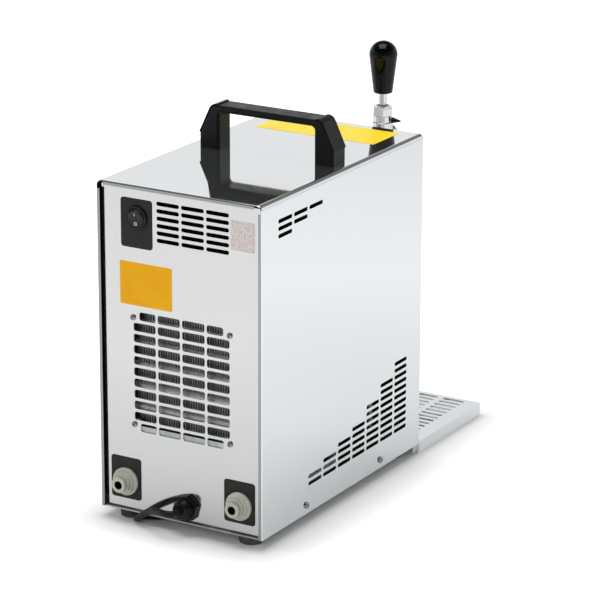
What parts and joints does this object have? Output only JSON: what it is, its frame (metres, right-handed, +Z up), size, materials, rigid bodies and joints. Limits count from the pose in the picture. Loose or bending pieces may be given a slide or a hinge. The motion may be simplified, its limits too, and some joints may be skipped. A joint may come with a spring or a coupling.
{
  "type": "beer cooler",
  "caption": "Countertop dry beer cooler in a louvred stainless cabinet with a bridge handle, a lever tap, a drip tray, push-fit hose connectors, a rocker switch and a mains cord.",
  "frame": {"origin": "on the table under the middle of the cooler without its free cord", "axes": "+Z up, -Y towards the tap and the drip tray, +Y towards the connectors, +X to the switch's side"},
  "size_m": [0.2767, 0.4597, 0.3978],
  "materials": {
    "polished_steel": "mirror polished stainless sheet",
    "panel_steel": "polished stainless sheet",
    "tray_steel": "polished stainless sheet",
    "zinc_steel": "zinc coated sheet",
    "fastener_steel": "bright screws and nuts",
    "rubber_foot": "matt rubber",
    "black_moulding": "satin black moulding",
    "label_plastic": "matt black plate",
    "gland_plastic": "satin black moulding",
    "fitting_plastic": "satin grey moulding",
    "chromed_brass": "polished",
    "fin_aluminium": "mill finish",
    "copper_tube": "bare copper",
    "compressor_paint": "black enamel",
    "foam": "rigid foam",
    "hose_plastic": "translucent hose",
    "cord_rubber": "matt rubber sheath",
    "pin_brass": "plated"
  },
  "bodies": {
    "cabinet": {"air_fitting": "fitting_plastic", "air_line": "hose_plastic", "air_pump": "black_moulding", "base_pan": "zinc_steel", "beer_lines": "hose_plastic", "bracket": "zinc_steel", "compressor": "compressor_paint", "compressor_mounts": "rubber_foot", "condenser_fins": "fin_aluminium", "condenser_frame": "zinc_steel", "condenser_screws": "fastener_steel", "condenser_tube": "fin_aluminium", "cooling_block": "fin_aluminium", "copper_pipes": "copper_tube", "cord_coil": "cord_rubber", "cord_tail": "cord_rubber", "cover": "polished_steel", "cover_screws": "fastener_steel", "fan_frame": "black_moulding", "feet": "rubber_foot", "filter_drier": "copper_tube", "foot_fasteners": "fastener_steel", "front_panel": "panel_steel", "gland_body": "gland_plastic", "gland_dome": "gland_plastic", "gland_locknut": "gland_plastic", "handle": "black_moulding", "handle_end_caps": "black_moulding", "handle_fasteners": "fastener_steel", "hose_nuts": "fitting_plastic", "hose_plates": "label_plastic", "inlet_fitting": "fitting_plastic", "insulation_box": "foam", "mains_lead": "cord_rubber", "plug": "cord_rubber", "plug_pins": "pin_brass", "power_cord": "cord_rubber", "rear_panel": "panel_steel", "shelf": "zinc_steel", "shelf_posts": "zinc_steel", "switch_body": "black_moulding", "switch_plate": "label_plastic", "tap_body": "chromed_brass", "tap_collar": "chromed_brass", "tap_coupling_nut": "chromed_brass", "tap_locknut": "fastener_steel", "tap_rosette": "chromed_brass", "tap_shank": "chromed_brass", "terminal_cover": "black_moulding", "thermostat_box": "black_moulding"},
    "tap_lever": {"tap_lever": "chromed_brass", "tap_handle": "black_moulding"},
    "flow_lever": {"flow_lever": "chromed_brass", "flow_lever_tip": "black_moulding"},
    "switch_rocker": {"switch_rocker": "black_moulding"},
    "fan_rotor": {"fan_rotor": "black_moulding"},
    "air_collet": {"air_collet": "fitting_plastic"},
    "inlet_collet": {"inlet_collet": "fitting_plastic"},
    "drip_tray": {"drip_tray": "tray_steel"},
    "drip_grid": {"drip_grid": "tray_steel"}
  },
  "joints": [
    {"name": "tap_tilt", "type": "hinge", "parent": "cabinet", "child": "tap_lever", "pos_m": [0, -0.168, 0.325], "axis": [1, 0, 0], "range_deg": [-20, 20]},
    {"name": "flow_turn", "type": "hinge", "parent": "cabinet", "child": "flow_lever", "pos_m": [0, -0.168, 0.3183], "axis": [0, 0, 1], "range_deg": [-45, 45]},
    {"name": "switch_rock", "type": "hinge", "parent": "cabinet", "child": "switch_rocker", "pos_m": [0.0469, 0.208, 0.2998], "axis": [1, 0, 0], "range_deg": [0, 24]},
    {"name": "fan_spin", "type": "hinge", "parent": "cabinet", "child": "fan_rotor", "pos_m": [0, 0.15, 0.1505], "axis": [0, 1, 0], "continuous": true},
    {"name": "air_collet_press", "type": "slide", "parent": "cabinet", "child": "air_collet", "axis": [0, -1, 0], "range_m": [0, 0.0015]},
    {"name": "beer_collet_press", "type": "slide", "parent": "cabinet", "child": "inlet_collet", "axis": [0, -1, 0], "range_m": [0, 0.0015]},
    {"name": "tray_pull", "type": "slide", "parent": "cabinet", "child": "drip_tray", "axis": [0, -1, 0], "range_m": [0, 0.15]},
    {"name": "grid_lift", "type": "slide", "parent": "drip_tray", "child": "drip_grid", "axis": [0, 0, 1], "range_m": [0, 0.06]}
  ]
}
